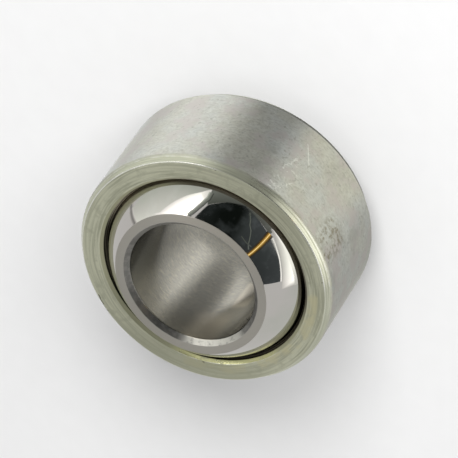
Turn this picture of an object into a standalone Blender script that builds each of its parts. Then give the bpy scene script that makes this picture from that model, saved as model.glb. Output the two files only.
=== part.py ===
"""Spherical plain bearing for a 16 mm shaft, modelled standing on one end of its ball.

The ball's centre is the origin and its bore runs along +Z. The outer ring, with the liner bonded in it,
leans a little to the left on the ball and stays where it is left. Lengths are in metres.
"""

from math import asin, ceil, cos, radians, sin, sqrt

import bpy

# The ball: a sphere with two flat ends and a bore.
BORE_DIAMETER = 0.016
BORE_CHAMFER = 0.0006
END_FACE_WIDTH = 0.00109
BALL_WIDTH = 0.021

# The liner slides on the ball and is bonded into the outer ring.
RUNNING_CLEARANCE = 0.00005
LINER_THICKNESS = 0.00025
LINER_RECESS = 0.0005
BOND_CLEARANCE = 0.00005

# The outer ring. Its wall is measured at the middle, where the seat is deepest.
RING_WIDTH = 0.015
RING_WALL = 0.00136
RING_CHAMFER = 0.0004
LEAD_IN_LENGTH = 0.0002
LEAD_IN_DEPTH = 0.0001
MOUTH_CHAMFER = 0.0004

# How far the upper end of the ring's axis leans towards -X, about the Y axis.
RING_LEAN = radians(2.2)

# Facets: segments round the axis, and the largest step along an arc of a profile.
SEGMENTS = 72
ARC_STEP = radians(5)
MERGE_DISTANCE = 0.000001
SHARP_ANGLE = radians(12)

# Radii that follow from the sizes above.
BORE_RADIUS = BORE_DIAMETER / 2
END_FACE_INNER_RADIUS = BORE_RADIUS + BORE_CHAMFER
END_FACE_OUTER_RADIUS = END_FACE_INNER_RADIUS + END_FACE_WIDTH
BALL_RADIUS = sqrt(END_FACE_OUTER_RADIUS**2 + (BALL_WIDTH / 2) ** 2)
LINER_INNER_RADIUS = BALL_RADIUS + RUNNING_CLEARANCE
LINER_OUTER_RADIUS = LINER_INNER_RADIUS + LINER_THICKNESS
SEAT_RADIUS = LINER_OUTER_RADIUS + BOND_CLEARANCE
RING_RADIUS = SEAT_RADIUS + RING_WALL


def clear_scene():
    for obj in list(bpy.data.objects):
        bpy.data.objects.remove(obj, do_unlink=True)


def make_collection(name):
    collection = bpy.data.collections.new(name)
    bpy.context.scene.collection.children.link(collection)
    return collection


def make_material(name, colour, metallic, roughness):
    material = bpy.data.materials.new(name)
    material.use_nodes = True
    shader = material.node_tree.nodes["Principled BSDF"]
    shader.inputs["Base Color"].default_value = (*colour, 1.0)
    shader.inputs["Metallic"].default_value = metallic
    shader.inputs["Roughness"].default_value = roughness
    return material


def sphere_arc(radius, half_height):
    """Points (r, z) on a sphere's profile from +half_height down to -half_height, both included."""
    end_angle = asin(half_height / radius)
    steps = ceil(2 * end_angle / ARC_STEP)
    angles = [end_angle - 2 * end_angle * step / steps for step in range(steps + 1)]
    return [(radius * cos(angle), radius * sin(angle)) for angle in angles]


def both_ends(upper):
    """A half profile's points, followed by their mirror images in z, so the run goes from top to bottom."""
    return upper + [(r, -z) for r, z in reversed(upper)]


def turn(name, profile, collection, material):
    """Turn a closed profile of (r, z) points, which runs down its outer side, into a ring round Z."""
    points = [(r, 0.0, z) for r, z in profile]
    edges = [(index, (index + 1) % len(points)) for index in range(len(points))]
    mesh = bpy.data.meshes.new(name)
    mesh.from_pydata(points, edges, [])
    obj = bpy.data.objects.new(name, mesh)
    collection.objects.link(obj)
    screw = obj.modifiers.new("turn", "SCREW")
    screw.axis = "Z"
    screw.steps = SEGMENTS
    screw.render_steps = SEGMENTS
    screw.use_merge_vertices = True
    screw.merge_threshold = MERGE_DISTANCE
    finish_turning(obj)
    obj.data.materials.append(material)
    return obj


def finish_turning(obj):
    """Keep the turned mesh, and shade it smooth with its turned edges sharp."""
    evaluated = obj.evaluated_get(bpy.context.evaluated_depsgraph_get())
    turned = bpy.data.meshes.new_from_object(evaluated)
    wire = obj.data
    obj.modifiers.clear()
    obj.data = turned
    bpy.data.meshes.remove(wire)
    turned.name = obj.name
    turned.shade_smooth()
    turned.set_sharp_from_angle(angle=SHARP_ANGLE)


def make_ball(collection):
    """The sphere between its two flat ends on the outside, and the chamfered bore inside."""
    sphere = sphere_arc(BALL_RADIUS, BALL_WIDTH / 2)
    chamfer = [
        (END_FACE_INNER_RADIUS, BALL_WIDTH / 2),
        (BORE_RADIUS, BALL_WIDTH / 2 - BORE_CHAMFER),
    ]
    bore = list(reversed(both_ends(chamfer)))
    steel = make_material("polished_bearing_steel", (0.62, 0.61, 0.60), 1.0, 0.08)
    return turn("ball", sphere + bore, collection, steel)


def make_liner(collection):
    """A thin shell between two spheres, cut off level a little way inside the ring's mouth."""
    half_height = RING_WIDTH / 2 - MOUTH_CHAMFER - LINER_RECESS
    outside = sphere_arc(LINER_OUTER_RADIUS, half_height)
    inside = list(reversed(sphere_arc(LINER_INNER_RADIUS, half_height)))
    fabric = make_material("dark_sliding_fabric", (0.07, 0.055, 0.04), 0.0, 0.7)
    return turn("sliding_liner", outside + inside, collection, fabric)


def make_outer_ring(collection):
    """A cylinder with a lead-in and a chamfer at each end, and the spherical seat inside."""
    face_height = RING_WIDTH / 2
    mouth_height = face_height - MOUTH_CHAMFER
    chamfer_height = face_height - RING_CHAMFER
    lead_in_radius = RING_RADIUS - LEAD_IN_DEPTH
    seat = sphere_arc(SEAT_RADIUS, mouth_height)
    mouth_radius = seat[0][0] + MOUTH_CHAMFER
    outside = both_ends([
        (lead_in_radius - RING_CHAMFER, face_height),
        (lead_in_radius, chamfer_height),
        (RING_RADIUS, chamfer_height - LEAD_IN_LENGTH),
    ])
    inside = [(mouth_radius, -face_height), *reversed(seat), (mouth_radius, face_height)]
    zinc = make_material("passivated_zinc", (0.42, 0.43, 0.35), 1.0, 0.42)
    return turn("outer_ring", outside + inside, collection, zinc)


def make_bearing():
    collection = make_collection("spherical_plain_bearing")
    make_ball(collection)
    # The ring and its liner swivel and tilt about the ball's centre, so their parent stands there.
    centre = bpy.data.objects.new("bearing_centre", None)
    centre.empty_display_size = BORE_RADIUS
    centre.rotation_euler.y = -RING_LEAN
    collection.objects.link(centre)
    for piece in (make_outer_ring(collection), make_liner(collection)):
        piece.parent = centre
    bpy.context.view_layer.update()


clear_scene()
make_bearing()
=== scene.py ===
# %% [markdown]
# # A spherical plain bearing, standing on one end of its ball
#
# The bearing is a hardened steel ball with a bore through it. A thin liner, bonded inside an outer ring,
# holds the ball, which can tilt and turn in it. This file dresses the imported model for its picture. It turns
# each piece again with finer edges, gives each one its metal, and sets the floor, the light and the camera.
# Sizes are written in millimetres and become metres when a piece is made.
#
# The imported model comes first, because each new piece has to sit where its solid sits, and has to move with
# the body that carries it.

from functools import reduce
from math import acos, asin, cos, pi, radians, sin, sqrt, tan

import bmesh
import bpy
from mathutils import Matrix, Vector


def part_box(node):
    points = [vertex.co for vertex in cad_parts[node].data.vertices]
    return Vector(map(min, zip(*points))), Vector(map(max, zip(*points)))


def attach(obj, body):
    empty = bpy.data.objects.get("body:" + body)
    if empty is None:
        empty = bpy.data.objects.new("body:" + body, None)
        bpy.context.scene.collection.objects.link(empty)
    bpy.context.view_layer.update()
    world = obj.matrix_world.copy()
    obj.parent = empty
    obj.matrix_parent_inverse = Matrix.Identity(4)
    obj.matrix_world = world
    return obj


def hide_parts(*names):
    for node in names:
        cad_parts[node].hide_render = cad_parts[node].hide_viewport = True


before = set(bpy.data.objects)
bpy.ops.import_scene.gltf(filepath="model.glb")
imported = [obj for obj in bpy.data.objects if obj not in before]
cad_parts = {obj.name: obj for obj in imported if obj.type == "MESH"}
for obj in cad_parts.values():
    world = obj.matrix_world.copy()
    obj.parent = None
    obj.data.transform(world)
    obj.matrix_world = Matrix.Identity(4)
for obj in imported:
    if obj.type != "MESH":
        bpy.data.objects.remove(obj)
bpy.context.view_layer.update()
MM = 0.001

# %% [markdown]
# ## The camera
#
# The photograph was taken from nearly half a metre away with a long lens, so the ring shows hardly any
# perspective. The camera looks down on the bearing at about 48 degrees. It is also rolled to one side,
# because the real bearing lay on its outside, while this one stands on its end. A camera can be placed by
# eye, but here its three directions were worked out from the ellipses of the ring and the bore, so it is set
# from them.

# %% Set the camera
CAMERA_LENS = 327.35
CAMERA_DISTANCE = 495.86
CAMERA_FORWARD = Vector((0.0008, 0.66343, -0.74823)).normalized()
CAMERA_RIGHT = Vector((-0.79256, -0.45585, -0.40502)).normalized()
CAMERA_UP = CAMERA_RIGHT.cross(CAMERA_FORWARD).normalized()
PICTURE_SHIFT_RIGHT = 0.296
PICTURE_SHIFT_UP = 1.024


def put_in_scene(name, data):
    """A new object in the scene."""
    made = bpy.data.objects.new(name, data)
    bpy.context.scene.collection.objects.link(made)
    return made


lens = bpy.data.cameras.new("photo_camera")
lens.lens = CAMERA_LENS
lens.sensor_width = 36
lens.clip_start = 0.02
lens.clip_end = 20
camera = put_in_scene("photo_camera", lens)
aim = CAMERA_RIGHT * PICTURE_SHIFT_RIGHT + CAMERA_UP * PICTURE_SHIFT_UP
spot = (aim - CAMERA_FORWARD * CAMERA_DISTANCE) * MM
turn = Matrix((CAMERA_RIGHT, CAMERA_UP, -CAMERA_FORWARD)).transposed()
camera.matrix_world = Matrix.Translation(spot) @ turn.to_4x4()
bpy.context.scene.camera = camera
bpy.context.scene.view_settings.view_transform = "Standard"
print("camera at", [round(x / MM, 1) for x in camera.location], "mm")

# %% [markdown]
# ## Profiles with real edges
#
# A turned piece is drawn as half of its section and revolved. Real edges are never perfectly sharp: each
# has a tiny radius that catches the light as a fine bright line, and a model without it looks like paper.
# So each profile is a list of corners with an edge radius. One helper replaces a corner by a short arc.
# Another adds points beside each arc, so that smooth shading stays flat on the flats.

# %% Draw a profile
ARC_PIECES = 6
BESIDE_AN_EDGE = 0.03
LONGEST_STEP = 0.9


def rounded(corners):
    """Replaces each corner (radius, height, edge radius) of a closed profile by a short arc.

    An edge radius of 0 marks a point of a curve, which is kept as it is.
    """
    points = []
    for number, (radius, height, edge) in enumerate(corners):
        corner = Vector((radius, height))
        if not edge:
            points.append((corner, True))
            continue
        before = (Vector(corners[number - 1][:2]) - corner).normalized()
        after = (Vector(corners[(number + 1) % len(corners)][:2]) - corner).normalized()
        opening = acos(max(-1.0, min(1.0, before.dot(after))))
        reach = edge / tan(opening / 2)
        middle = corner + (before + after).normalized() * (edge / sin(opening / 2))
        first = corner + before * reach - middle
        turning = first.angle_signed(corner + after * reach - middle)
        for step in range(ARC_PIECES + 1):
            share = turning * step / ARC_PIECES
            points.append((middle + Matrix.Rotation(-share, 2) @ first, False))
    return points


def with_supports(points):
    """Adds points near the ends of each straight run, and along it, and closes the profile."""
    finished = []
    for number, (start, curved) in enumerate(points):
        end, still_curved = points[(number + 1) % len(points)]
        length = (end - start).length
        finished.append(start)
        if (curved and still_curved) or length < 4 * BESIDE_AN_EDGE:
            continue
        parts = max(1, round(length / LONGEST_STEP))
        between_them = [length * part / parts for part in range(1, parts)]
        places = [BESIDE_AN_EDGE, *between_them, length - BESIDE_AN_EDGE]
        finished += [start.lerp(end, place / length) for place in places]
    return finished + [finished[0]]


def arc(radius, lowest, highest, step):
    """Points of a sphere's section between two heights, from the lower one up, a step in radians apart."""
    low, high = asin(lowest / radius), asin(highest / radius)
    count = max(2, round((high - low) / step))
    angles = [low + (high - low) * part / count for part in range(count + 1)]
    return [(radius * cos(angle), radius * sin(angle), 0) for angle in angles]


print("each rounded corner becomes", ARC_PIECES + 1, "points")

# %% [markdown]
# ## The lathe
#
# All three pieces are round, and one rule gives the whole surface: take the profile and carry it once round
# the axis. A Screw modifier would do it, but a Geometry Nodes tree also lets each point remember where it
# was on the lathe. The tree makes a grid, one column for each turn step and one row for each profile point,
# bends it round the axis, and writes two attributes for the materials: the place before the ring leans, and
# the distance along the profile, which the turning marks follow.

# %% Build the lathe tree
def feed(socket, value):
    """Sets an input, or links another node's output to it. None leaves it alone."""
    if isinstance(value, bpy.types.NodeSocket):
        socket.id_data.links.new(value, socket)
    elif value is not None:
        socket.default_value = value


def add(tree, kind, **settings):
    """Adds a node with its settings."""
    made = tree.nodes.new(kind)
    for name, value in settings.items():
        setattr(made, name, value)
    return made


def link_in(kind, *values, **settings):
    """The outputs of a new node that reads other outputs. Its values fill its inputs in their order."""
    tree = next(value.id_data for value in values if isinstance(value, bpy.types.NodeSocket))
    made = add(tree, kind, **settings)
    for socket, value in zip([s for s in made.inputs if s.enabled], values):
        feed(socket, value)
    return made.outputs


def calc(operation, *values, **settings):
    """The output of a Math node."""
    return link_in("ShaderNodeMath", *values, operation=operation, **settings)[0]


def product(*values):
    """Two or more values multiplied."""
    return reduce(lambda first, second: calc("MULTIPLY", first, second), values)


def new_group(name, inputs, outputs, kind="ShaderNodeTree"):
    """A new node group with its inputs and its outputs, each given as a name and a kind of socket."""
    group = bpy.data.node_groups.new(name, kind)
    for side, sockets in (("INPUT", inputs), ("OUTPUT", outputs)):
        for socket, sort in sockets.items():
            group.interface.new_socket(socket, in_out=side, socket_type="NodeSocket" + sort)
    return group, group.nodes.new("NodeGroupInput").outputs, group.nodes.new("NodeGroupOutput").inputs


def make_lathe():
    inputs = {"Profile": "Geometry", "Segments": "Int", "Lean": "Float", "Finish": "Material"}
    tree, given, out = new_group("turn_on_the_lathe", inputs, {"Piece": "Geometry"}, "GeometryNodeTree")
    profile, segments, lean, finish = given[:4]

    rows = link_in("GeometryNodeAttributeDomainSize", profile, component="MESH")["Point Count"]
    columns = link_in("FunctionNodeIntegerMath", segments, 1, operation="ADD")[0]
    shape = link_in("GeometryNodeMeshGrid", 1.0, 1.0, columns, rows)["Mesh"]
    number = tree.nodes.new("GeometryNodeInputIndex").outputs[0]
    row = link_in("FunctionNodeIntegerMath", number, rows, operation="MODULO")[0]
    column = link_in("FunctionNodeIntegerMath", number, rows, operation="DIVIDE_FLOOR")[0]

    place = tree.nodes.new("GeometryNodeInputPosition").outputs[0]
    drawn = link_in("GeometryNodeSampleIndex", profile, place, row, data_type="FLOAT_VECTOR")[0]
    drawn = link_in("ShaderNodeSeparateXYZ", drawn)
    angle = product(calc("DIVIDE", column, segments), 2 * pi)
    x = product(drawn["X"], calc("COSINE", angle))
    y = product(drawn["X"], calc("SINE", angle))
    upright = link_in("ShaderNodeCombineXYZ", x, y, drawn["Z"])[0]
    leaning = link_in("ShaderNodeVectorRotate", upright, None, lean, rotation_type="Y_AXIS")[0]

    walked = add(tree, "GeometryNodeInputNamedAttribute", data_type="FLOAT")
    feed(walked.inputs["Name"], "along")
    along = link_in("GeometryNodeSampleIndex", profile, walked.outputs[0], row, data_type="FLOAT")[0]
    along = link_in("GeometryNodeFieldOnDomain", along, data_type="FLOAT", domain="POINT")[0]
    at_points = {"data_type": "FLOAT_VECTOR", "domain": "POINT"}
    at_corners = {"data_type": "FLOAT", "domain": "CORNER"}
    for kind, values, settings in (
        ("StoreNamedAttribute", (None, "lathe_place", upright), at_points),
        ("StoreNamedAttribute", (None, "along", along), at_corners),
        ("SetPosition", (None, leaning), {}),
        ("MergeByDistance", (None, 1e-7), {}),
        ("SetShadeSmooth", (), {}),
        ("RealizeInstances", (), {}),
        ("SetMaterial", (None, finish), {}),
    ):
        shape = link_in("GeometryNode" + kind, shape, *values, **settings)[0]
    feed(out["Piece"], shape)
    return tree


lathe = make_lathe()
print("lathe tree:", len(lathe.nodes), "nodes")

# %% [markdown]
# ## From the lathe to a plain mesh
#
# The tree runs as a modifier on the profile. Its result becomes a plain mesh, because the bodies carry plain
# meshes and the instances of a live tree would be lost. Each piece is measured as it comes off: a closed
# piece has no open edge, and a volume above zero says that its faces point out.

# %% Turn a piece
def draw_chain(name, points):
    """The profile as a chain of edges. Each point also stores how far along the chain it lies."""
    chain = bpy.data.meshes.new(name + "_profile")
    spots = [(p.x * MM, 0.0, p.y * MM) for p in points]
    chain.from_pydata(spots, [(i, i + 1) for i in range(len(spots) - 1)], [])
    walked = [0.0]
    for before, after in zip(points, points[1:]):
        walked.append(walked[-1] + (after - before).length * MM)
    chain.attributes.new("along", "FLOAT", "POINT").data.foreach_set("value", walked)
    return chain


def measure(piece):
    """Prints the triangles, the open edges and the volume of a piece."""
    shape = bmesh.new()
    shape.from_mesh(piece.data)
    print(piece.name, "triangles", len(shape.calc_loop_triangles()),
          "open edges", sum(not edge.is_manifold for edge in shape.edges),
          "volume mm3", round(shape.calc_volume(signed=True) / MM**3, 1))
    shape.free()


def turn_piece(name, points, finish, lean=0.0, segments=384):
    """Turns a closed profile in millimetres into a plain mesh in its place, and returns the object."""
    piece = put_in_scene(name, draw_chain(name, points))
    modifier = piece.modifiers.new("lathe", "NODES")
    modifier.node_group = lathe
    values = {"Segments": segments, "Lean": lean, "Finish": finish}
    for socket in lathe.interface.items_tree:
        if socket.in_out == "INPUT" and socket.name in values:
            modifier[socket.identifier] = values[socket.name]
    graph = bpy.context.evaluated_depsgraph_get()
    turned = bpy.data.meshes.new_from_object(
        piece.evaluated_get(graph), preserve_all_data_layers=True, depsgraph=graph)
    piece.modifiers.clear()
    piece.data = turned
    turned.name = name
    measure(piece)
    return piece


# %% [markdown]
# ## Shared effects
#
# Metal that was cut on a lathe carries fine lines that run round it, and nothing on it is quite even. More
# than one finish needs these effects, so each is a shader node group: built once, with its own inputs, and
# placed in each material with other values. All of them read the place that the lathe tree wrote, so a
# pattern stays on the metal when the ring leans or the ball turns.

# %% Group: where a point is on the lathe
def make_place_group():
    """Radius and height in millimetres, and azimuth in degrees: 0 is the camera's side, and 90 is +X."""
    outputs = {"Radius": "Float", "Height": "Float", "Azimuth": "Float"}
    group, given, out = new_group("place_on_the_lathe", {"Place": "Vector"}, outputs)
    x, y, z = link_in("ShaderNodeSeparateXYZ", given["Place"])
    squares = calc("ADD", product(x, x), product(y, y))
    radius = product(calc("SQRT", squares), 1 / MM)
    azimuth = calc("DEGREES", calc("ARCTAN2", x, product(y, -1.0)))
    for name, value in (("Radius", radius), ("Height", product(z, 1 / MM)), ("Azimuth", azimuth)):
        feed(out[name], value)
    return group


place_on_the_lathe = make_place_group()
print(place_on_the_lathe.name, len(place_on_the_lathe.nodes), "nodes")


# %% Group: turning marks
def vector_calc(operation, *values, output="Vector"):
    """An output of a Vector Math node."""
    return link_in("ShaderNodeVectorMath", *values, operation=operation)[output]


def noise_at(vector, scale, detail=2.0, roughness=0.5):
    """The grey value of a Noise Texture."""
    return link_in("ShaderNodeTexNoise", vector, scale, detail, roughness)[0]


def make_marks_group():
    """Fine lines round the piece, each a few millimetres long, and broader bands under them."""
    inputs = {"Place": "Vector", "Along": "Float", "Lines per mm": "Float", "Turns": "Float"}
    group, given, out = new_group("turning_marks", inputs, {"Lines": "Float", "Bands": "Float"})
    flat = vector_calc("MULTIPLY", given["Place"], (1.0, 1.0, 0.0))
    spread = vector_calc("SCALE", vector_calc("NORMALIZE", flat), given["Turns"])
    step = product(given["Along"], 1 / MM, given["Lines per mm"])
    lift = link_in("ShaderNodeCombineXYZ", 0.0, 0.0, step)[0]
    where = vector_calc("ADD", spread, lift)
    broad = vector_calc("MULTIPLY", where, (0.35, 0.35, 0.16))
    feed(out["Lines"], noise_at(where, 1.0, 3.0, 0.6))
    feed(out["Bands"], noise_at(broad, 1.0, 2.0))
    return group


turning_marks = make_marks_group()
print(turning_marks.name, len(turning_marks.nodes), "nodes")


# %% Group: a scratch
SHAKE_SCALE = 2600.0


def ramp(value, low, high, start=0.0, end=1.0):
    """A soft step from start to end while value goes from low to high."""
    return link_in("ShaderNodeMapRange", value, low, high, start, end, interpolation_type="SMOOTHSTEP")[0]


def make_scratch_group():
    """A mask that is 1 on a wavy line between two points, and 0 away from it.

    A point is an azimuth in degrees and, in millimetres, a height on a wall or a radius on a flat face.
    """
    inputs = {"Place": "Vector", "Azimuth": "Float", "Across": "Float", "Radius": "Float", "From": "Vector",
              "To": "Vector", "Width": "Float", "Waviness": "Float"}
    group, given, out = new_group("scratch", inputs, {"Mask": "Float"})
    per_degree = product(given["Radius"], pi / 180)
    scale = link_in("ShaderNodeCombineXYZ", per_degree, 1.0, 0.0)[0]
    here = link_in("ShaderNodeCombineXYZ", given["Azimuth"], given["Across"], 0.0)[0]
    here, start, end = (vector_calc("MULTIPLY", point, scale) for point in (here, given["From"], given["To"]))
    shake = link_in("ShaderNodeTexNoise", given["Place"], SHAKE_SCALE)["Color"]
    shake = vector_calc("SUBTRACT", shake, (0.5, 0.5, 0.5))
    here = vector_calc("ADD", here, vector_calc("SCALE", shake, given["Waviness"]))
    here = vector_calc("MULTIPLY", here, (1.0, 1.0, 0.0))
    run = vector_calc("SUBTRACT", end, start)
    reach = vector_calc("SUBTRACT", here, start)
    part = vector_calc("DOT_PRODUCT", reach, run, output="Value")
    whole = vector_calc("DOT_PRODUCT", run, run, output="Value")
    nearest = vector_calc("SCALE", run, calc("DIVIDE", part, whole, use_clamp=True))
    gap = vector_calc("DISTANCE", reach, nearest, output="Value")
    feed(out["Mask"], ramp(gap, 0.0, given["Width"], 1.0, 0.0))
    return group


scratch = make_scratch_group()
print(scratch.name, len(scratch.nodes), "nodes")


# %% Mix colours, values and masks
def mix(share, first, second):
    """The colour between two others."""
    first, second = ((*value, 1.0) if isinstance(value, tuple) else value for value in (first, second))
    return link_in("ShaderNodeMix", share, first, second, data_type="RGBA")[2]


def mix_value(share, first, second):
    """The value between two others."""
    return link_in("ShaderNodeMix", share, first, second, data_type="FLOAT")[0]


def tint(colour, other, value, *step):
    """A colour with another one laid over it, by a soft step of a value."""
    return mix(ramp(value, *step), colour, other)


def between(value, low, high, soft):
    """A mask that is 1 between two values, with soft ends."""
    return product(ramp(value, low - soft, low), ramp(value, high, high + soft, 1.0, 0.0))


def larger(*values):
    """The largest of two or more values."""
    return reduce(lambda first, second: calc("MAXIMUM", first, second), values)


# %% Start a finish
def use(group, *values):
    """Places a node group and returns its outputs."""
    return link_in("ShaderNodeGroup", *values, node_tree=group)


def start_finish(name):
    """A material with one Principled shader, and the places that its patterns read."""
    made = bpy.data.materials.new(name)
    made.use_nodes = True
    tree = made.node_tree
    place = add(tree, "ShaderNodeAttribute", attribute_name="lathe_place").outputs["Vector"]
    along = add(tree, "ShaderNodeAttribute", attribute_name="along").outputs["Fac"]
    return made, tree.nodes["Principled BSDF"], place, along, use(place_on_the_lathe, place)


def make_turned_metal(shader, anisotropy):
    """Makes the shader a metal whose gloss is drawn out across the turning marks."""
    tangent = add(shader.id_data, "ShaderNodeTangent", direction_type="RADIAL", axis="Z").outputs[0]
    for name, value in (("Metallic", 1.0), ("Anisotropic", anisotropy), ("Anisotropic Rotation", 0.25),
                        ("Tangent", tangent)):
        feed(shader.inputs[name], value)


def add_bump(shader, relief, strength, depth):
    """Gives the shader a relief, with its depth in metres."""
    bump = add(shader.id_data, "ShaderNodeBump")
    for name, value in (("Strength", strength), ("Distance", depth), ("Height", relief)):
        feed(bump.inputs[name], value)
    feed(shader.inputs["Normal"], bump.outputs[0])


def scratches(place, azimuth, across, radius, lines):
    """One mask of several scratches: for each its two ends, its width and its waviness."""
    return larger(*(
        use(scratch, place, azimuth, across, radius, (*first, 0.0), (*last, 0.0), width, waviness)["Mask"]
        for first, last, width, waviness in lines
    ))


print("node groups:", [group.name for group in bpy.data.node_groups])

# %% [markdown]
# ## The ring's finish
#
# The outside of the ring is ground bright steel, so it carries a fine mottle and the handling marks of its
# life. The end faces and the chamfers keep a thin yellow-green passivated zinc, which is duller. One
# material does both. A mask from the height on the lathe says which of the two a point wears, and a little
# noise makes the edge between them ragged, as it is where the grinder stopped. The rims are rubbed glossy
# and carry a painted highlight, and one stretch of the mouth is glossier and a brighter yellow, partly a
# painted highlight. Painted shade lies in the slot beside the ball, on the near side of the mouth, where the
# ball mirrors it, in two fine grooves on the chamfer and towards one side of the faces. Painted light lies
# on the near side of the slot.

# %% The ring's sizes
RING_RADIUS = 16.0
RING_FACE = 7.5
CHAMFER_FOOT = 6.5
CHAMFER_TOP = 15.44
MOUTH_TOP = 13.2
MOUTH_FOOT = 7.1
SEAT_EDGE = 12.8
print("the outer chamfer is", round(RING_RADIUS - CHAMFER_TOP, 2), "by", RING_FACE - CHAMFER_FOOT, "mm")

# %% The ring's colours
STEEL_OUTSIDE = (0.59, 0.60, 0.565)
STEEL_WARM = (0.575, 0.565, 0.485)
STEEL_ROSE = (0.585, 0.545, 0.51)
STEEL_FLECK = (0.74, 0.745, 0.68)
STEEL_SMUDGE = (0.40, 0.395, 0.34)
STEEL_STAIN = (0.33, 0.30, 0.225)
ZINC_FACE = (0.61, 0.615, 0.475)
ZINC_FACE_DARK = (0.385, 0.39, 0.29)
ZINC_YELLOW = (0.60, 0.57, 0.37)
ZINC_EDGE = (0.68, 0.69, 0.55)
ZINC_EDGE_DARK = (0.54, 0.55, 0.43)
ZINC_MOUTH = (0.54, 0.54, 0.38)
# The zinc's own yellow, partly a painted highlight.
ZINC_MOUTH_YELLOW_HIGHLIGHT = (0.80, 0.79, 0.44)
# Bright scratches and specks, and a painted highlight on the rims.
BRIGHT_WEAR_AND_HIGHLIGHT = (0.80, 0.80, 0.74)
NICK_DARK = (0.12, 0.12, 0.09)
# Painted shade in the slot.
SLOT_SHADE = (0.018, 0.018, 0.010)
# Painted light on the near side of the slot and the liner.
SLOT_LIT_SIDE = (0.42, 0.38, 0.29)
# Painted shade on the near side of the mouth.
MOUTH_SHADE = (0.19, 0.175, 0.135)

# %% Stretches of the ring
# Each is a first and a last azimuth in degrees, and how many degrees its ends take to fade.
# Along these two stretches the painted highlight on the rims is faint.
QUIET_NEAR = (-14, 20, 6.0)
QUIET_RIGHT = (-112, -58, 8.0)
BRIGHT_FLANK = (-64, 4, 10.0)
# Where two fine grooves in the chamfer get painted shade.
GROOVED_FLANK = (-52, -2, 12.0)
# Where the mouth is glossier and a brighter yellow, partly a painted highlight.
YELLOW_MOUTH = (-160, -112, 12.0)
# Where the mouth gets painted shade.
SHADED_SIDE_OF_THE_MOUTH = (-60, 35, 25.0)
# Where the slot and the liner get painted light.
LIT_SIDE_OF_THE_SLOT = (-30, 80, 30.0)
print("the flank of the chamfer is bright from azimuth", BRIGHT_FLANK[0], "to", BRIGHT_FLANK[1])


# %% Where each finish of the ring lies
def rim_wear_and_highlight(where, mottle):
    """The rims that are glossier and carry a painted highlight: both edges of the chamfer, the lower rim and a
    part of the mouth.
    """
    radius, height, azimuth = where
    outer_line = product(between(radius, 15.80, 15.88, 0.04), ramp(mottle, 0.40, 0.60, 0.0, 0.7))
    inner_line = product(between(radius, 15.40, 15.47, 0.04), ramp(mottle, 0.30, 0.55, 0.45, 1.0))
    quiet = larger(between(azimuth, *QUIET_NEAR), between(azimuth, *QUIET_RIGHT))
    upper = product(larger(outer_line, inner_line), calc("MULTIPLY_ADD", quiet, -0.85, 1.0),
                    ramp(calc("ABSOLUTE", height), CHAMFER_FOOT + 0.2, CHAMFER_FOOT + 0.3))
    lower = product(ramp(height, -CHAMFER_FOOT + 0.05, -CHAMFER_FOOT - 0.05),
                    ramp(radius, 15.70, 15.78))
    mouth = product(between(azimuth, *YELLOW_MOUTH), between(radius, 13.17, 13.24, 0.04),
                    ramp(mottle, 0.40, 0.60, 0.0, 0.5))
    return larger(upper, lower, mouth)


def ring_masks(where, mottle):
    """A mask for each finish. The two ends of the ring are alike, so the height loses its sign here."""
    radius, height, azimuth = where
    height = calc("ABSOLUTE", height)
    ragged = calc("MULTIPLY_ADD", calc("SUBTRACT", mottle, 0.5), 0.6, height)
    # Two fine grooves in the chamfer, drawn as lines of painted shade.
    groove_shade = larger(between(radius, 15.70, 15.73, 0.035), between(radius, 15.33, 15.37, 0.035))
    return {
        "ground": product(ramp(ragged, CHAMFER_FOOT - 0.2, CHAMFER_FOOT + 0.4, 1.0, 0.0),
                          ramp(radius, RING_RADIUS - 0.25, RING_RADIUS - 0.15)),
        "chamfer": ramp(radius, CHAMFER_TOP - 0.12, CHAMFER_TOP - 0.04),
        "edge": product(ramp(radius, CHAMFER_TOP - 0.14, CHAMFER_TOP - 0.06),
                        ramp(height, CHAMFER_FOOT + 0.1, CHAMFER_FOOT + 0.4)),
        "flank": product(between(azimuth, *BRIGHT_FLANK),
                         ramp(radius, CHAMFER_TOP - 0.10, CHAMFER_TOP - 0.02),
                         ramp(height, CHAMFER_FOOT + 0.1, CHAMFER_FOOT + 0.3)),
        "groove_shade": product(groove_shade, between(azimuth, *GROOVED_FLANK),
                           ramp(mottle, 0.30, 0.50, 0.15, 0.6)),
        "wear_and_highlight": rim_wear_and_highlight(where, mottle),
        "yellow": product(between(azimuth, *YELLOW_MOUTH), ramp(mottle, 0.3, 0.5)),
        "mouth": ramp(radius, MOUTH_TOP - 0.04, MOUTH_TOP + 0.04, 1.0, 0.0),
        "slot": product(ramp(height, MOUTH_FOOT - 0.04, MOUTH_FOOT + 0.06, 1.0, 0.0),
                        ramp(radius, 15.0, 15.2, 1.0, 0.0)),
    }


# %% The outside of the ring, ground and handled
# Each scratch has its two ends, as azimuth and height, its width and its waviness.
SCRATCHES = [
    ((-3.9, -3.75), (-9.1, -0.97), 0.12, 0.30),
    ((0.0, 2.02), (-1.8, 1.17), 0.15, 0.95),
    ((-1.8, 1.17), (-3.4, -0.6), 0.14, 0.95),
    ((-4.4, 1.77), (-5.8, 1.77), 0.14, 0.30),
    ((-4.4, 0.6), (-5.4, 0.72), 0.10, 0.30),
]


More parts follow.
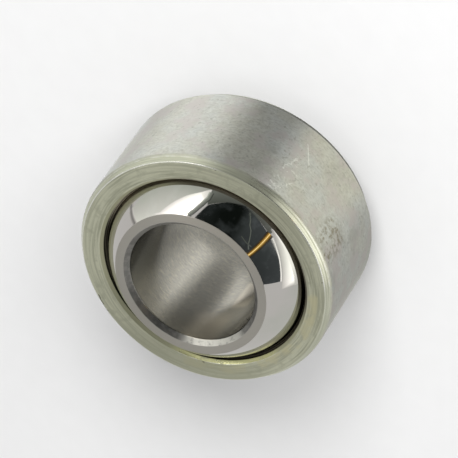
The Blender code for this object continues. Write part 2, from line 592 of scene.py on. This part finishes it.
def outside_colour(place, where, mottle):
    """Bright steel with flecks and warm clouds, smudges that run round it, and a patch of rust specks."""
    _, height, azimuth = where
    cloud = noise_at(place, 170.0, 3.0)
    grain = noise_at(place, 3200.0, 3.0, 0.7)
    rose = noise_at(place, 310.0, 3.0, 0.6)
    dark = noise_at(place, 235.0, 4.0, 0.65)
    pits = noise_at(place, 2100.0, 2.0, 0.55)
    unrolled = link_in("ShaderNodeCombineXYZ", product(azimuth, 0.28), product(height, 2.6), 0.0)
    smudge = noise_at(unrolled[0], 1.5, 4.0, 0.65)
    colour = mix(ramp(cloud, 0.38, 0.62), STEEL_OUTSIDE, STEEL_WARM)
    for layer in (
        (STEEL_FLECK, mottle, 0.35, 0.75, 0.0, 0.5),
        (STEEL_FLECK, grain, 0.5, 0.7, 0.0, 0.45),
        (STEEL_SMUDGE, smudge, 0.30, 0.55, 0.55, 0.0),
        (STEEL_SMUDGE, grain, 0.30, 0.45, 0.5, 0.0),
        (STEEL_ROSE, rose, 0.46, 0.64, 0.0, 0.85),
        (STEEL_SMUDGE, dark, 0.56, 0.70, 0.0, 0.4),
        (STEEL_SMUDGE, pits, 0.26, 0.38, 0.75, 0.0),
    ):
        colour = tint(colour, *layer)
    specks = calc("MINIMUM", ramp(pits, 0.56, 0.42), ramp(mottle, 0.58, 0.44))
    stain = product(between(azimuth, -41, -33, 6.0), between(height, 2, 6.5, 1.5), specks)
    return mix(stain, colour, STEEL_STAIN)


def handling_marks(place, where):
    """A mask of the scratches, and of a patch of bright specks above them."""
    _, height, azimuth = where
    patch = product(between(azimuth, -6, 0, 3.0), between(height, 2.0, 6.2, 1.5))
    specks = product(patch, ramp(noise_at(place, 2300.0, 2.0), 0.60, 0.66, 0.0, 0.9))
    return larger(specks, scratches(place, azimuth, height, RING_RADIUS, SCRATCHES))


print(len(SCRATCHES), "scratches on the outside")

# %% The zinc on the faces and edges
# Each nick has its two ends, as azimuth and radius, its width and its waviness.
NICKS = [
    ((-50.4, 15.25), (-49.8, 15.5), 0.13, 0.35),
    ((23.2, 15.3), (24.2, 15.5), 0.13, 0.35),
    ((147, 15.25), (156, 15.4), 0.13, 0.35),
    ((-151.5, 13.1), (-150, 13.4), 0.13, 0.35),
]
NICK_RADIUS = 15.0
# Painted shade: the zinc faces darken towards this side.
PAINTED_SHADE_SIDE = (-0.375, 0.927, 0.0)


def zinc_colour(place, where, marks, mottle):
    """Passivated zinc with turning marks that run round it, yellow patches, small dark nicks, and painted
    shade towards one side.
    """
    radius, _, azimuth = where
    colour = mix(ramp(marks["Lines"], 0.36, 0.64), ZINC_FACE_DARK, ZINC_FACE)
    colour = tint(colour, ZINC_FACE, marks["Bands"], 0.35, 0.65, 0.55, 0.0)
    colour = tint(colour, ZINC_FACE_DARK, mottle, 0.5, 0.3, 0.0, 0.5)
    patch = product(ramp(noise_at(place, 330.0, 3.0, 0.6), 0.45, 0.65, 0.0, 0.75),
                    between(azimuth, -155, -60, 25.0), between(radius, 13.4, 14.3, 0.4))
    colour = mix(patch, colour, ZINC_YELLOW)
    # Painted shade towards one side of the face.
    away = vector_calc("DOT_PRODUCT", place, PAINTED_SHADE_SIDE, output="Value")
    colour = tint(colour, ZINC_FACE_DARK, away, 0.0095, 0.0140, 0.0, 0.6)
    return mix(scratches(place, azimuth, radius, NICK_RADIUS, NICKS), colour, NICK_DARK)


print(len(NICKS), "nicks in the zinc")

# %% The ring's metal
def ring_colour(azimuth, marks, mask, steel, zinc):
    """The ground outside, the zinc on the chamfers and in the mouth, the rims with a painted highlight, and
    the slot in painted shade with painted light on its near side.
    """
    edge = mix(ramp(marks["Lines"], 0.30, 0.65), ZINC_EDGE_DARK, ZINC_EDGE)
    # On one stretch the mouth is a brighter yellow, partly a painted highlight.
    mouth = mix(mask["yellow"], ZINC_MOUTH, ZINC_MOUTH_YELLOW_HIGHLIGHT)
    # The near side of the mouth gets painted shade.
    mouth = mix(between(azimuth, *SHADED_SIDE_OF_THE_MOUTH), mouth, MOUTH_SHADE)
    # The slot is painted shade, with painted light on its near side.
    slot = mix(between(azimuth, *LIT_SIDE_OF_THE_SLOT), SLOT_SHADE, SLOT_LIT_SIDE)
    # The grooves get painted shade here.
    for name, other in (("chamfer", edge), ("groove_shade", ZINC_FACE_DARK), ("mouth", mouth)):
        zinc = mix(mask[name], zinc, other)
    colour = mix(mask["ground"], zinc, steel)
    # The rims: a painted highlight on metal that is also rubbed.
    colour = mix(mask["wear_and_highlight"], colour, BRIGHT_WEAR_AND_HIGHLIGHT)
    return mix(mask["slot"], colour, slot)


def ring_roughness(mask, mottle):
    """Dull zinc, glossier steel, and the most gloss where the ring is rubbed."""
    yellow = mix_value(mask["yellow"], 0.42, 0.10)
    dull = mix_value(mask["ground"], 0.40, 0.24)
    for name, other in (("edge", 0.40), ("flank", 0.13), ("wear_and_highlight", 0.13), ("mouth", yellow), ("slot", 0.55)):
        dull = mix_value(mask[name], dull, other)
    return calc("MULTIPLY_ADD", mottle, 0.14, dull)


def make_ring_metal():
    made, shader, place, along, where = start_finish("passivated_ring_steel")
    make_turned_metal(shader, 0.8)
    mottle = noise_at(place, 900.0, 4.0, 0.6)
    marks = use(turning_marks, place, along, 4.5, 2.5)
    mask = ring_masks(where, mottle)
    handled = handling_marks(place, where)
    steel = mix(handled, outside_colour(place, where, mottle), BRIGHT_WEAR_AND_HIGHLIGHT)
    zinc = zinc_colour(place, where, marks, mottle)
    feed(shader.inputs["Base Color"], ring_colour(where["Azimuth"], marks, mask, steel, zinc))
    feed(shader.inputs["Roughness"], ring_roughness(mask, mottle))
    relief = calc("ADD", product(marks["Lines"], 0.6), product(mottle, 0.8))
    relief = calc("MULTIPLY_ADD", handled, 0.5, relief)
    relief = product(relief, calc("MULTIPLY_ADD", mask["flank"], -0.7, 1.0))
    add_bump(shader, relief, 0.3, 0.00004)
    return made


ring_metal = make_ring_metal()
print(ring_metal.name, len(ring_metal.node_tree.nodes), "nodes")

# %% [markdown]
# ## The ball's finish
#
# The sphere has to slide, so it is lapped and polished to a mirror. The end faces only have to sit against
# a fork, so they stay ground and dull, with painted light on their near side. The bore is honed, which leaves
# short fine lines, and it carries painted shade on one side and two painted highlights. The shafts that went
# through it have rubbed its chamfer in places, and that bright wear is partly a painted highlight; the chamfer
# also has painted light on its near side. The mask for each comes from the radius and the height, because the
# three meet at sharp edges.

# %% The ball's sizes
BALL_RADIUS = 14.288
BALL_END = 10.5
BORE_RADIUS = 8.0
CHAMFER_RADIUS = 8.6
print("the ball is", 2 * BALL_RADIUS, "mm across and", 2 * BALL_END, "mm wide")

# %% The ball's colours
STEEL_POLISHED = (0.61, 0.585, 0.555)
STEEL_FILM = (0.56, 0.56, 0.51)
STEEL_END = (0.415, 0.396, 0.352)
# Painted light on the near side of the end faces.
STEEL_END_LIT_SIDE = (0.47, 0.445, 0.39)
STEEL_BORE = (0.335, 0.33, 0.305)
STEEL_BORE_LIGHT = (0.41, 0.40, 0.365)
STEEL_HONED = (0.52, 0.49, 0.40)
# Painted shade on one side of the bore.
STEEL_BORE_SHADE = (0.15, 0.155, 0.14)
# Painted highlights in the bore.
STEEL_BORE_HIGHLIGHT = (0.62, 0.58, 0.50)
STEEL_CHAMFER = (0.22, 0.215, 0.20)
# Bright wear on the bore's chamfer, partly a painted highlight.
STEEL_CHAMFER_WEAR_AND_HIGHLIGHT = (0.56, 0.55, 0.50)


# %% The bore and its chamfer
def bore_colour(where, lines, honed):
    """Honed steel, with painted shade on one side and two painted highlights."""
    _, height, azimuth = where
    bore = mix(ramp(lines, 0.30, 0.70, 0.2, 0.6), STEEL_BORE, STEEL_BORE_LIGHT)
    bore = tint(bore, STEEL_HONED, honed, 0.45, 0.70, 0.0, 0.6)
    bore = tint(bore, STEEL_CHAMFER, honed, 0.30, 0.45, 0.35, 0.0)
    # Painted shade on one side of the bore.
    bore_shade = product(between(azimuth, 95, 132, 18.0), ramp(height, 1.0, 6.0, 0.0, 0.65))
    bore = mix(bore_shade, bore, STEEL_BORE_SHADE)
    # Two painted highlights.
    high = product(between(azimuth, -152, -136, 14.0), ramp(height, 3.5, 6.5))
    low = product(between(azimuth, -134, -122, 5.0), between(height, -2.0, 2.4, 1.0), 0.9)
    return mix(larger(high, low), bore, STEEL_BORE_HIGHLIGHT)


def chamfer_colour(azimuth, mottle):
    """The chamfer of the bore: dark, with painted light on the near side, and bright on the far side, partly
    wear and partly a painted highlight.
    """
    edge = mix(ramp(mottle, 0.35, 0.65, 0.0, 0.4), STEEL_CHAMFER, STEEL_BORE_LIGHT)
    # Painted light on the near side.
    edge = mix(between(azimuth, -40, 70, 25.0), edge, STEEL_BORE_LIGHT)
    # Wear, partly a painted highlight.
    wear_and_highlight = product(between(azimuth, -152, -104, 10.0), ramp(mottle, 0.2, 0.5))
    return mix(wear_and_highlight, edge, STEEL_CHAMFER_WEAR_AND_HIGHLIGHT)


# %% The ball's metal
def make_ball_metal():
    made, shader, place, along, where = start_finish("polished_ball_steel")
    make_turned_metal(shader, 0.6)
    radius, height, azimuth = where
    mottle = noise_at(place, 1500.0, 3.0, 0.6)
    smear = noise_at(place, 260.0, 3.0)
    lines = use(turning_marks, place, along, 7.0, 3.0)["Lines"]
    honed = use(turning_marks, place, along, 8.5, 14.0)["Lines"]
    end = ramp(calc("ABSOLUTE", height), BALL_END - 0.04, BALL_END - 0.01)
    inside = ramp(radius, CHAMFER_RADIUS + 0.02, CHAMFER_RADIUS + 0.06, 1.0, 0.0)
    chamfer = product(inside, ramp(radius, BORE_RADIUS + 0.04, BORE_RADIUS + 0.10))

    flat = mix(ramp(lines, 0.3, 0.7, 0.0, 0.35), STEEL_END, STEEL_BORE_LIGHT)
    # Painted light on the near side of the end face.
    flat = mix(between(azimuth, -10, 30, 40.0), flat, STEEL_END_LIT_SIDE)
    film = ramp(noise_at(place, 150.0, 3.0), 0.35, 0.65)
    colour = mix(end, mix(film, STEEL_POLISHED, STEEL_FILM), flat)
    colour = mix(inside, colour, bore_colour(where, lines, honed))
    colour = mix(chamfer, colour, chamfer_colour(azimuth, mottle))
    feed(shader.inputs["Base Color"], colour)

    dull = mix_value(end, ramp(smear, 0.4, 0.7, 0.025, 0.07), 0.5)
    dull = mix_value(inside, dull, calc("MULTIPLY_ADD", mottle, 0.08, 0.15))
    feed(shader.inputs["Roughness"], mix_value(chamfer, dull, 0.42))
    rough = mix_value(inside, end, product(chamfer, 0.8))
    relief = product(calc("ADD", lines, mottle), rough)
    relief = calc("ADD", relief, product(honed, inside, 0.22))
    relief = calc("MULTIPLY_ADD", smear, 0.35, relief)
    add_bump(shader, relief, 0.25, 0.00002)
    return made


ball_metal = make_ball_metal()
print(ball_metal.name, len(ball_metal.node_tree.nodes), "nodes")

# %% [markdown]
# ## The liner's finish
#
# The liner is a thin slippery fabric. Only its edge shows, in the slot beside the ball, where it is dark
# and, on the near side, a lighter brown of painted light.

# %% The liner's fabric
LINER_DARK = (0.012, 0.011, 0.007)
LINER_THREAD = (0.035, 0.030, 0.018)


def make_liner_fabric():
    made, shader, place, along, where = start_finish("woven_liner_fabric")
    lines = use(turning_marks, place, along, 5.0, 60.0)["Lines"]
    colour = mix(lines, LINER_DARK, LINER_THREAD)
    # Painted light on the near side of the liner's edge.
    colour = mix(between(where["Azimuth"], *LIT_SIDE_OF_THE_SLOT), colour, SLOT_LIT_SIDE)
    feed(shader.inputs["Base Color"], colour)
    feed(shader.inputs["Roughness"], ramp(lines, 0.2, 0.8, 0.75, 0.95))
    return made


liner_fabric = make_liner_fabric()
print(liner_fabric.name, len(liner_fabric.node_tree.nodes), "nodes")

# %% [markdown]
# ## The ring
#
# The ring is one corner list: the outer chamfer, the face and the mouth, then the seat as an arc, and the
# same again below. It leans a little to the left on the ball, as it does in the photograph.

# %% Turn the ring
RING_LEAN = radians(-2.2)
SEAT_RADIUS = 14.638
SEAT_STEP = radians(3)


def ring_profile():
    upper = [(RING_RADIUS, CHAMFER_FOOT, 0.30), (CHAMFER_TOP, RING_FACE, 0.12), (MOUTH_TOP, RING_FACE, 0.06),
             (SEAT_EDGE, MOUTH_FOOT, 0.20)]
    lower = [(radius, -height, edge) for radius, height, edge in reversed(upper)]
    seat = arc(SEAT_RADIUS, -MOUTH_FOOT, MOUTH_FOOT, SEAT_STEP)[-2:0:-1]
    return with_supports(rounded(upper + seat + lower))


ring = turn_piece("turned_ring", ring_profile(), ring_metal, RING_LEAN)
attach(ring, "outer_ring")
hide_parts("outer_ring")

# %% [markdown]
# ## The liner
#
# The liner is a shell between two spheres, a quarter of a millimetre thick, and it ends a little inside the
# ring.

# %% Turn the liner
LINER_OUTER = 14.588
LINER_INNER = 14.338
LINER_END = 6.6


def liner_profile():
    outer, inner = (arc(radius, -LINER_END, LINER_END, SEAT_STEP) for radius in (LINER_OUTER, LINER_INNER))
    return with_supports(rounded(outer + inner[::-1]))


liner = turn_piece("woven_liner", liner_profile(), liner_fabric, RING_LEAN)
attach(liner, "liner")
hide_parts("sliding_liner")

# %% [markdown]
# ## The ball
#
# The ball is a sphere with its two ends cut flat and a chamfered bore through it. A mirror shows every
# facet, so this piece has the finest steps.

# %% Turn the ball
BALL_STEP = radians(1.2)
BALL_SEGMENTS = 480
SHARP, SOFT = 0.05, 0.25


def ball_profile():
    sphere = arc(BALL_RADIUS, -BALL_END, BALL_END, BALL_STEP)
    bore_end = BALL_END - (CHAMFER_RADIUS - BORE_RADIUS)
    upper = [(sphere[-1][0], BALL_END, SHARP), (CHAMFER_RADIUS, BALL_END, SHARP),
             (BORE_RADIUS, bore_end, SOFT)]
    lower = [(radius, -height, edge) for radius, height, edge in reversed(upper)]
    return with_supports(rounded(sphere[1:-1] + upper + lower))


ball = turn_piece("polished_ball", ball_profile(), ball_metal, segments=BALL_SEGMENTS)
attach(ball, "ball")
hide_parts("ball")

# %% [markdown]
# ## The floor and the light
#
# The bearing stands on a pale floor that fades into a white background. The light is a plain soft sky and
# two broad low lamps in front, which throw the soft shadow. The camera sees the floor glow a little, which
# keeps it pale. The metal sees only an even glow, as bright as the sky, so that no horizon crosses the ball.
# Close to the bearing that glow fades, as the floor lies in its shadow there.

# %% The floor
FLOOR_GREY = 0.45
FLOOR_GLOW = 0.11
FLOOR_HALF_WIDTH = 3.0
SKY_LIGHT = 0.70
SHADE_ENDS = (0.012, 0.042)
GLOW_IN_THE_SHADE = 0.2
floor_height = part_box("ball")[0].z - 0.01 * MM


def start_glowing(name):
    """A material with no shader yet, and its tree."""
    made = bpy.data.materials.new(name)
    made.use_nodes = True
    made.node_tree.nodes.remove(made.node_tree.nodes["Principled BSDF"])
    return made, made.node_tree


def show_both(tree, first, second):
    """Lays the light of two shaders together on the surface."""
    feed(tree.nodes["Material Output"].inputs["Surface"], link_in("ShaderNodeAddShader", first, second)[0])


def make_floor_finish():
    made, tree = start_glowing("pale_floor")
    matt = tree.nodes.new("ShaderNodeBsdfDiffuse")
    place = tree.nodes.new("ShaderNodeTexCoord").outputs["Object"]
    path = tree.nodes.new("ShaderNodeLightPath").outputs
    grain = noise_at(place, 400.0, 2.0)
    grain = mix(grain, (FLOOR_GREY - 0.01,) * 3, (FLOOR_GREY + 0.01,) * 3)
    grain = mix(path["Is Glossy Ray"], grain, (0.0, 0.0, 0.0))
    feed(matt.inputs["Color"], grain)
    glow = tree.nodes.new("ShaderNodeEmission")
    reach = vector_calc("MULTIPLY", place, (1.0, 1.0, 0.0))
    reach = vector_calc("LENGTH", reach, output="Value")
    in_metal = product(ramp(reach, *SHADE_ENDS, GLOW_IN_THE_SHADE, 1.0), SKY_LIGHT)
    seen = product(path["Is Camera Ray"], FLOOR_GLOW)
    seen = calc("MULTIPLY_ADD", path["Is Glossy Ray"], in_metal, seen)
    feed(glow.inputs["Strength"], seen)
    show_both(tree, matt.outputs[0], glow.outputs[0])
    return made


def make_floor():
    mesh = bpy.data.meshes.new("pale_floor")
    side = FLOOR_HALF_WIDTH
    corners = [(-side, -side), (side, -side), (side, side), (-side, side)]
    mesh.from_pydata([(x, y, floor_height) for x, y in corners], [], [(0, 1, 2, 3)])
    mesh.materials.append(make_floor_finish())
    made_floor = put_in_scene("pale_floor", mesh)


make_floor()
print("floor at", round(floor_height / MM, 2), "mm")

# %% The sky and the lamps
LAMPS = [("left_lamp", 22, 36, 6.3), ("right_lamp", -8, 33, 4.0)]
LAMP_SIZE = 0.34
LAMP_DISTANCE = 0.7


def toward(azimuth, elevation=0.0):
    """A direction. Azimuth 0 is towards the camera's side, and 90 is +X."""
    a, e = radians(azimuth), radians(elevation)
    return Vector((sin(a) * cos(e), -cos(a) * cos(e), sin(e)))


def make_sky():
    world = bpy.data.worlds.new("soft_white_room")
    bpy.context.scene.world = world
    world.use_nodes = True
    tree = world.node_tree
    back = tree.nodes["Background"]
    path = tree.nodes.new("ShaderNodeLightPath").outputs
    back.inputs["Color"].default_value = (1, 1, 1, 1)
    feed(back.inputs["Strength"], mix_value(path["Is Camera Ray"], SKY_LIGHT, 1.0))


def make_lamp(name, azimuth, elevation, watts):
    """A broad lamp that only the floor and the liner see."""
    lamp = bpy.data.lights.new(name, "AREA")
    lamp.shape = "DISK"
    lamp.size = LAMP_SIZE
    lamp.energy = watts
    made = put_in_scene(name, lamp)
    made.location = toward(azimuth, elevation) * LAMP_DISTANCE
    made.rotation_euler = (-made.location).to_track_quat("-Z", "Y").to_euler()
    made.visible_glossy = False


make_sky()
for lamp in LAMPS:
    make_lamp(*lamp)
print("sky", SKY_LIGHT, "lamps", LAMPS)

# %% [markdown]
# ## Cards for the reflections
#
# A mirror shows the room, so the ball needs a room worth showing. Large cards stand in for the softboxes and
# dark curtains of a studio. Each is placed by the direction in which the ball sees it: an azimuth, where 0
# is the camera's side and 90 is +X, and an elevation. Each point of a card has its own glow, so a card can
# fade to one side, and a faint haze clouds the dark ones. Only reflections see the cards, so they change no
# shadow.

# %% Make a card
CARD_DISTANCE = 0.9
RIBBON_DISTANCE = 0.6
WHITE = (1.0, 0.99, 0.97)
CREAM = (0.97, 1.0, 0.945)
GREEN_GREY = (0.84, 0.90, 0.82)
HAZE = (0.034, 0.038, 0.042)


def lit(colour, level):
    """A glow: a colour times a level."""
    return tuple(channel * level for channel in colour)


def make_card_glow():
    """A glow read from each point, and a faint haze over it that shows only on the dark cards."""
    made, tree = start_glowing("card_glow")
    read = add(tree, "ShaderNodeAttribute", attribute_name="glow").outputs["Color"]
    place = tree.nodes.new("ShaderNodeTexCoord").outputs["Object"]
    clouds = ramp(noise_at(place, 5.5, 3.0, 0.55), 0.46, 0.72)
    glow = link_in("ShaderNodeEmission", read)[0]
    haze = link_in("ShaderNodeEmission", (*HAZE, 1.0), clouds)[0]
    show_both(tree, glow, haze)
    return made


card_glow = make_card_glow()


def make_card(name, spots, glows, wide=2):
    """A card of rows of points, so many wide, each with its own glow. Only reflections see it."""
    mesh = bpy.data.meshes.new(name)
    faces = [(i, i + 1, i + wide + 1, i + wide) for i in range(len(spots) - wide) if (i + 1) % wide]
    mesh.from_pydata([tuple(p) for p in spots], [], faces)
    glow = mesh.attributes.new("glow", "FLOAT_COLOR", "POINT")
    glow.data.foreach_set("color", [value for colour in glows for value in (*colour, 1.0)])
    mesh.materials.append(card_glow)
    card = put_in_scene(name, mesh)
    card.visible_camera = False
    card.visible_shadow = False
    card.visible_diffuse = False
    print("card", name, len(spots), "points")


# %% Hang a card, and a ribbon
def hang_card(name, columns, distance=CARD_DISTANCE):
    """A card in columns from left to right: (azimuth, top, bottom, glow at the top, glow at the bottom)."""
    spots = [toward(column[0], height) * distance for column in columns for height in column[1:3]]
    glows = [glow for column in columns for glow in column[3:5]]
    make_card(name, spots, glows)


def in_colour(colour, columns):
    """Columns of a card whose glows are written as levels of one colour."""
    return [(*column[:3], lit(colour, column[3]), lit(colour, column[4])) for column in columns]


def hang_ribbon(name, path, width, stripes, distance=RIBBON_DISTANCE):
    """A line through directions. Each stripe is a share of the half width, from -1 to 1, and its glow."""
    spots, glows = [], []
    for number, (azimuth, elevation) in enumerate(path):
        before, after = path[max(number - 1, 0)], path[min(number + 1, len(path) - 1)]
        across = Vector((before[1] - after[1], after[0] - before[0])).normalized() * width / 2
        for share, glow in stripes:
            spots.append(toward(azimuth + across.x * share, elevation + across.y * share) * distance)
            glows.append(glow)
    make_card(name, spots, glows, len(stripes))


# %% The dark side of the room
CURTAIN, CURTAIN_HEM = lit((0.7, 0.9, 0.8), 0.010), lit((0.7, 0.85, 0.85), 0.03)
SMOKY_TOP, SMOKY, SMOKY_HEM = [lit((0.82, 0.94, 1.0), level) for level in (0.020, 0.038, 0.085)]
hang_card("dark_curtain", [
    (-77, 60, 16.5, SMOKY_TOP, SMOKY_HEM), (-55, 66, 16.5, SMOKY_TOP, SMOKY_HEM),
    (-30, 70, 16.5, SMOKY_TOP, SMOKY_HEM), (-10, 68, 15, CURTAIN, SMOKY_HEM), (4, 66, 13.5, CURTAIN, CURTAIN),
    (20, 60, 19, CURTAIN, CURTAIN), (37, 50, 27, CURTAIN, CURTAIN_HEM), (49, 42, 40, CURTAIN, CURTAIN_HEM),
])
hang_card("grey_wall", in_colour(GREEN_GREY, [
    (-31, 16, 8, 0.14, 0.38), (0, 14, -10, 0.14, 0.38), (20, 19, -8, 0.14, 0.38), (38, 27, 0, 0.14, 0.38),
]), 0.95)

# %% The white softboxes
hang_card("white_box", in_colour(WHITE, [
    (38.5, 24, 12, 1.2, 1.0), (47, 32, 16, 4, 1.6), (60, 38, 19, 4, 1.4), (75, 42, 22.5, 4, 1.2),
    (90, 38, 25, 4, 1.2), (118, 15, 14, 1.5, 1.2),
]))
hang_card("white_strip", in_colour(WHITE, [
    (-85, 14, -1, 0.72, 0.72), (-79, 14.3, 0, 0.85, 2.4), (-66, 14.5, 1.5, 0.85, 2.4),
    (-55, 14.5, 4, 0.8, 2.0), (-42, 13.5, 6.5, 0.75, 1.5), (-28, 12, 9, 0.45, 0.8),
]))

# %% [markdown]
# ## A low strip for the chamfer
#
# In the photograph a bright line runs along the chamfer on the right. Such a steep flank mirrors what stands
# just above the floor, so a low strip close by lights it. The ring's own edge hides the strip from the ball
# as long as its top stays under about 12 degrees.

# %% The low strip
STRIP_DISTANCE = 0.2
STRIP_BOTTOM = -3
LIGHT_ON_THE_CHAMFER = [
    (-84, 3.0, 0.85), (-76, 4.5, 1.1), (-66, 7.0, 1.55), (-56, 9.0, 1.6), (-48, 10.0, 1.6), (-38, 11.0, 1.6),
    (-28, 11.4, 1.6), (-20, 11.7, 1.35), (-13, 12.0, 0.9), (-6, 12.0, 0.5), (8, 12.0, 0.40), (30, 12.0, 0.42),
]
hang_card("low_strip_for_the_chamfer", in_colour(WHITE, [
    (azimuth, top, STRIP_BOTTOM, level, level) for azimuth, top, level in LIGHT_ON_THE_CHAMFER
]), STRIP_DISTANCE)

# %% [markdown]
# ## Lines in the room
#
# Where two cards meet, the ball shows the frame of a softbox or a seam in the wall. Across its dark side
# run a thin amber line and two faint wires. Each is a ribbon of stripes that have their own glow.

# %% Edges and seams
hang_ribbon("grey_strip", [(37.5, 15), (38.5, 21), (43, 27), (50, 33.5), (58, 38)], 5.0, [
    (-1, lit(GREEN_GREY, 1.0)), (-0.3, lit(GREEN_GREY, 0.42)), (0.5, lit(GREEN_GREY, 0.26)), (1, CURTAIN),
], 0.75)
hang_ribbon("white_line", [(-77, 15.8), (-55, 16), (-35, 15)], 0.9, [
    (-1, lit(WHITE, 1.6)), (1, lit(WHITE, 1.6)),
])
hang_card("cream_wall", in_colour(CREAM, [
    (38.5, 12, -0.6, 0.5, 0.35), (60, 19.5, -0.6, 0.8, 0.42), (90, 25.5, -0.6, 1.0, 0.62),
    (118, 14, -0.6, 1.1, 0.75),
]), 0.97)
hang_ribbon("seam_in_the_wall", [(117.6, 16), (118.6, 5), (118.4, -5), (117.6, -16)], 5.0, [
    (-1, lit(WHITE, 0.95)), (-0.2, lit(WHITE, 0.33)), (0.2, lit(WHITE, 0.33)), (1, lit(WHITE, 0.70)),
])

# %% The amber line and the wires
AMBER_EDGE, AMBER, AMBER_HOT = (0.12, 0.07, 0.02), (0.80, 0.48, 0.09), (2.0, 1.5, 0.75)
FAINT = lit((0.9, 1.0, 0.9), 0.24)
hang_ribbon("amber_line", [(-38.4, 47), (-36.0, 38), (-33.6, 28), (-30.6, 15)], 8.0, [
    (-1, SMOKY), (-0.5, AMBER_EDGE), (-0.34, (0.50, 0.29, 0.045)), (-0.12, AMBER), (-0.03, AMBER_HOT),
    (0.03, AMBER_HOT), (0.12, AMBER), (0.34, (0.55, 0.31, 0.05)), (0.5, AMBER_EDGE), (1, SMOKY),
])
hang_ribbon("wavy_wire", [(-31, 40), (-26, 38), (-20, 32), (-16, 28), (-11, 25), (-8, 21), (-3, 16)], 1.6, [
    (-1, SMOKY), (0, FAINT), (1, SMOKY),
])
hang_ribbon("second_wire", [(-30, 36.5), (-22, 38.5), (-13, 38)], 1.4, [
    (-1, SMOKY), (0, lit(FAINT, 0.7)), (1, SMOKY),
])

# %% [markdown]
# ## Cards on the floor
#
# The ground outside of the ring and the wall of the bore look down at the floor close by. In the photograph
# they show upright light and dark bands, because the light there comes from some sides only. A fan of glowing
# spokes on the floor gives the same bands. Outside of the ring, each spoke runs in the direction in which
# that part of the metal mirrors the camera's line of sight, which is twice the azimuth of the surface.
# Inside of the bore, those directions all cross near one point, and the fan spreads from there.

# %% Lay a fan on the floor
ABOVE_THE_FLOOR = 0.05


def level_at(knots, place):
    """The level at a place, from knots (place, level) and a soft step between each two."""
    for (first, low), (last, high) in zip(knots, knots[1:]):
        if place <= last:
            share = min(1.0, max(0.0, (place - first) / (last - first)))
            return low + (high - low) * share * share * (3 - 2 * share)
    return knots[-1][1]


def lay_fan(name, spokes):
    """Each spoke is its inner point and its outer point in millimetres, and a glow for each."""
    height = floor_height / MM + ABOVE_THE_FLOOR
    spots = [Vector((p.x, p.y, height)) * MM for spoke in spokes for p in spoke[:2]]
    glows = [glow for spoke in spokes for glow in spoke[2:]]
    make_card(name, spots, glows)


# %% The fan around the ring
FAN_START, FAN_LENGTH = 15.9, 42
LIGHT_ROUND_THE_RING = [
    (-88, 0.80), (-74, 0.48), (-50, 0.54), (-30, 0.84), (-7, 0.85), (9, 0.36), (18, 0.36), (38, 1.08),
    (52, 1.15), (66, 0.78), (74, 0.80), (86, 1.25),
]
WARM_SIDE = [(-88, 0.7), (-60, 0.3), (-48, 0.2), (-32, 1.0), (-8, 1.0), (4, 0.0)]


def ring_spoke(azimuth):
    inner = toward(azimuth) * FAN_START
    warm = level_at(WARM_SIDE, azimuth)
    tone = (0.985 + 0.015 * warm, 1.0, 1.0 - 0.08 * warm)
    glow = lit(tone, level_at(LIGHT_ROUND_THE_RING, azimuth))
    return inner, inner + toward(2 * azimuth) * FAN_LENGTH, glow, glow


lay_fan("fan_round_the_ring", [ring_spoke(azimuth) for azimuth in range(-88, 89, 3)])

# %% The fan in the bore
FAN_CENTRE = Vector((0.0, 4.0, 0.0))
FAN_EDGE = 7.95
BORE_TINT = (1.0, 0.99, 0.95)
BORE_LEVEL = 1.15
LEAST_AT_THE_BACK = 0.65
LIGHT_IN_THE_BORE = [
    (-180, 0.20), (-110, 0.24), (-78, 0.48), (-45, 0.85), (-16, 1.28), (-6, 1.10), (12, 0.42), (42, 0.38),
    (61, 0.43), (78, 1.20), (105, 1.1), (140, 0.20),
]


def bore_spoke(angle):
    """A spoke from the centre of the fan to the wall of the bore, which fades on its way out."""
    along = toward(angle)
    half = along.dot(FAN_CENTRE)
    reach = -half + sqrt(half * half + FAN_EDGE**2 - FAN_CENTRE.length_squared)
    level = level_at(LIGHT_IN_THE_BORE, angle)
    fade = 0.045 if -10 < angle < 50 else 0.010
    near_level = max(level, LEAST_AT_THE_BACK) if abs(angle) > 110 else level
    near, far = lit(BORE_TINT, near_level * BORE_LEVEL), lit(BORE_TINT, level * (BORE_LEVEL - fade * reach))
    return FAN_CENTRE + along * 0.2, FAN_CENTRE + along * reach, near, far


lay_fan("fan_in_the_bore", [bore_spoke(angle) for angle in range(-180, 181, 6)])

# %% The seam, carried on along the floor
MIRROR_SPOT = toward(60) * 10
SEAM_START, SEAM_END = 45, 860
SEAM = [(115.6, 0.70), (117.9, 0.32), (118.7, 0.32), (121.0, 0.70)]
lay_fan("seam_on_the_floor", [
    (MIRROR_SPOT + toward(angle) * SEAM_START, MIRROR_SPOT + toward(angle) * SEAM_END,
     lit(WHITE, level), lit(WHITE, level))
    for angle, level in SEAM
])
